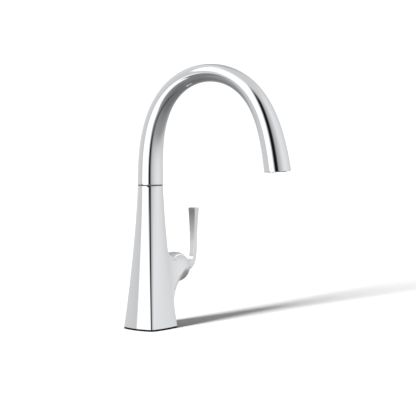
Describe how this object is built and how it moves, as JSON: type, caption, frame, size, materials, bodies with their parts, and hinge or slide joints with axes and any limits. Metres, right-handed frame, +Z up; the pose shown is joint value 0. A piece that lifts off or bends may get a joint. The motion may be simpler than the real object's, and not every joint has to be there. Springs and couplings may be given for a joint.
{
  "type": "pull-down kitchen faucet",
  "caption": "Single-lever pull-down kitchen faucet in polished chrome: a squared tapering column, a side valve lever and a swivelling high-arch spout with a docked spray head on a hose.",
  "frame": {"origin": "on the column's axis, on the underside of the deck gasket, where the faucet stands on the worktop", "axes": "+Z up; the spout reaches towards -Y; the valve hub and the lever are on the +X side"},
  "size_m": [0.1427, 0.2884, 0.5202],
  "materials": {
    "polished_chrome": "mirror-polished chrome plate",
    "black_rubber": "matt moulded rubber",
    "plain_brass": "turned brass",
    "stainless_steel": "plain stainless steel",
    "copper_tube": "drawn copper tube",
    "black_plastic": "moulded acetal",
    "grey_plastic": "moulded grey plastic",
    "white_plastic": "moulded white plastic",
    "white_ceramic": "lapped ceramic",
    "braided_hose": "braided nylon hose"
  },
  "bodies": {
    "column": {"column_body": "polished_chrome", "deck_gasket": "black_rubber", "mounting_shank": "plain_brass", "clamp_washer_rubber": "black_rubber", "clamp_washer_steel": "stainless_steel", "mounting_nut": "plain_brass", "jack_screw_1": "stainless_steel", "jack_screw_2": "stainless_steel", "shank_spacer": "black_plastic", "hot_supply_stub": "copper_tube", "cold_supply_stub": "copper_tube", "mixed_supply_stub": "copper_tube", "hot_fitting": "plain_brass", "cold_fitting": "plain_brass", "mixed_fitting": "plain_brass", "lower_wear_ring": "white_plastic", "upper_wear_ring": "white_plastic", "reveal_ring": "black_plastic", "cartridge_seal": "black_rubber", "cartridge_base": "white_plastic", "fixed_ceramic_disc": "white_ceramic", "cartridge_housing": "white_plastic", "cartridge_nut": "plain_brass"},
    "spout": {"spout_tube": "polished_chrome", "swivel_sleeve": "plain_brass", "retaining_clip": "stainless_steel", "swivel_o_ring": "black_rubber", "dock_collar": "black_plastic", "dock_magnet": "stainless_steel", "pull_down_hose": "braided_hose", "hose_tail_connector": "plain_brass"},
    "spray_head": {"docking_stem": "grey_plastic", "strike_ring": "stainless_steel", "hose_swivel_nut": "plain_brass", "spray_shell": "polished_chrome", "spray_core": "grey_plastic", "toggle_pin": "stainless_steel", "spray_plate": "grey_plastic", "nozzle_pad": "black_rubber", "aerator_insert": "grey_plastic", "face_ring": "polished_chrome"},
    "toggle": {"toggle_rocker": "polished_chrome"},
    "diverter": {"diverter_spool": "plain_brass"},
    "valve_carrier": {"stem_carrier": "white_plastic", "stem_pin": "stainless_steel"},
    "moving_disc": {"moving_ceramic_disc": "white_ceramic"},
    "handle": {"handle_lever": "polished_chrome", "cartridge_stem": "plain_brass", "handle_set_screw": "stainless_steel", "index_plug": "grey_plastic"}
  },
  "joints": [
    {"name": "spout_swivel", "type": "hinge", "parent": "column", "child": "spout", "pos_m": [0, 0, 0.2182], "axis": [0, 0, 1], "continuous": true},
    {"name": "head_pull", "type": "slide", "parent": "spout", "child": "spray_head", "axis": [0, -0.4633, -0.8862], "range_m": [0, 0.2], "stiffness_N_per_m": 10, "springref_m": -0.6},
    {"name": "toggle_rock", "type": "hinge", "parent": "spray_head", "child": "toggle", "pos_m": [0, -0.21632, 0.28703], "axis": [1, 0, 0], "range_deg": [0, 8]},
    {"name": "diverter_slide", "type": "slide", "parent": "spray_head", "child": "diverter", "axis": [0, -0.2875, -0.9578], "range_m": [0, 0.0008]},
    {"name": "handle_temperature", "type": "hinge", "parent": "column", "child": "valve_carrier", "pos_m": [0.058, 0, 0.089], "axis": [1, 0, 0], "range_deg": [0, 90]},
    {"name": "handle_flow", "type": "hinge", "parent": "valve_carrier", "child": "handle", "pos_m": [0.058, 0, 0.089], "axis": [0, 1, 0], "range_deg": [0, 22]},
    {"name": "moving_disc_slide", "type": "slide", "parent": "valve_carrier", "child": "moving_disc", "axis": [0, 0, 1], "range_m": [0, 0.005]}
  ],
  "couplings": [
    {"joint": "diverter_slide", "follows": "toggle_rock", "m_per_rad": 0.00525},
    {"joint": "moving_disc_slide", "follows": "handle_flow", "m_per_rad": 0.013}
  ]
}
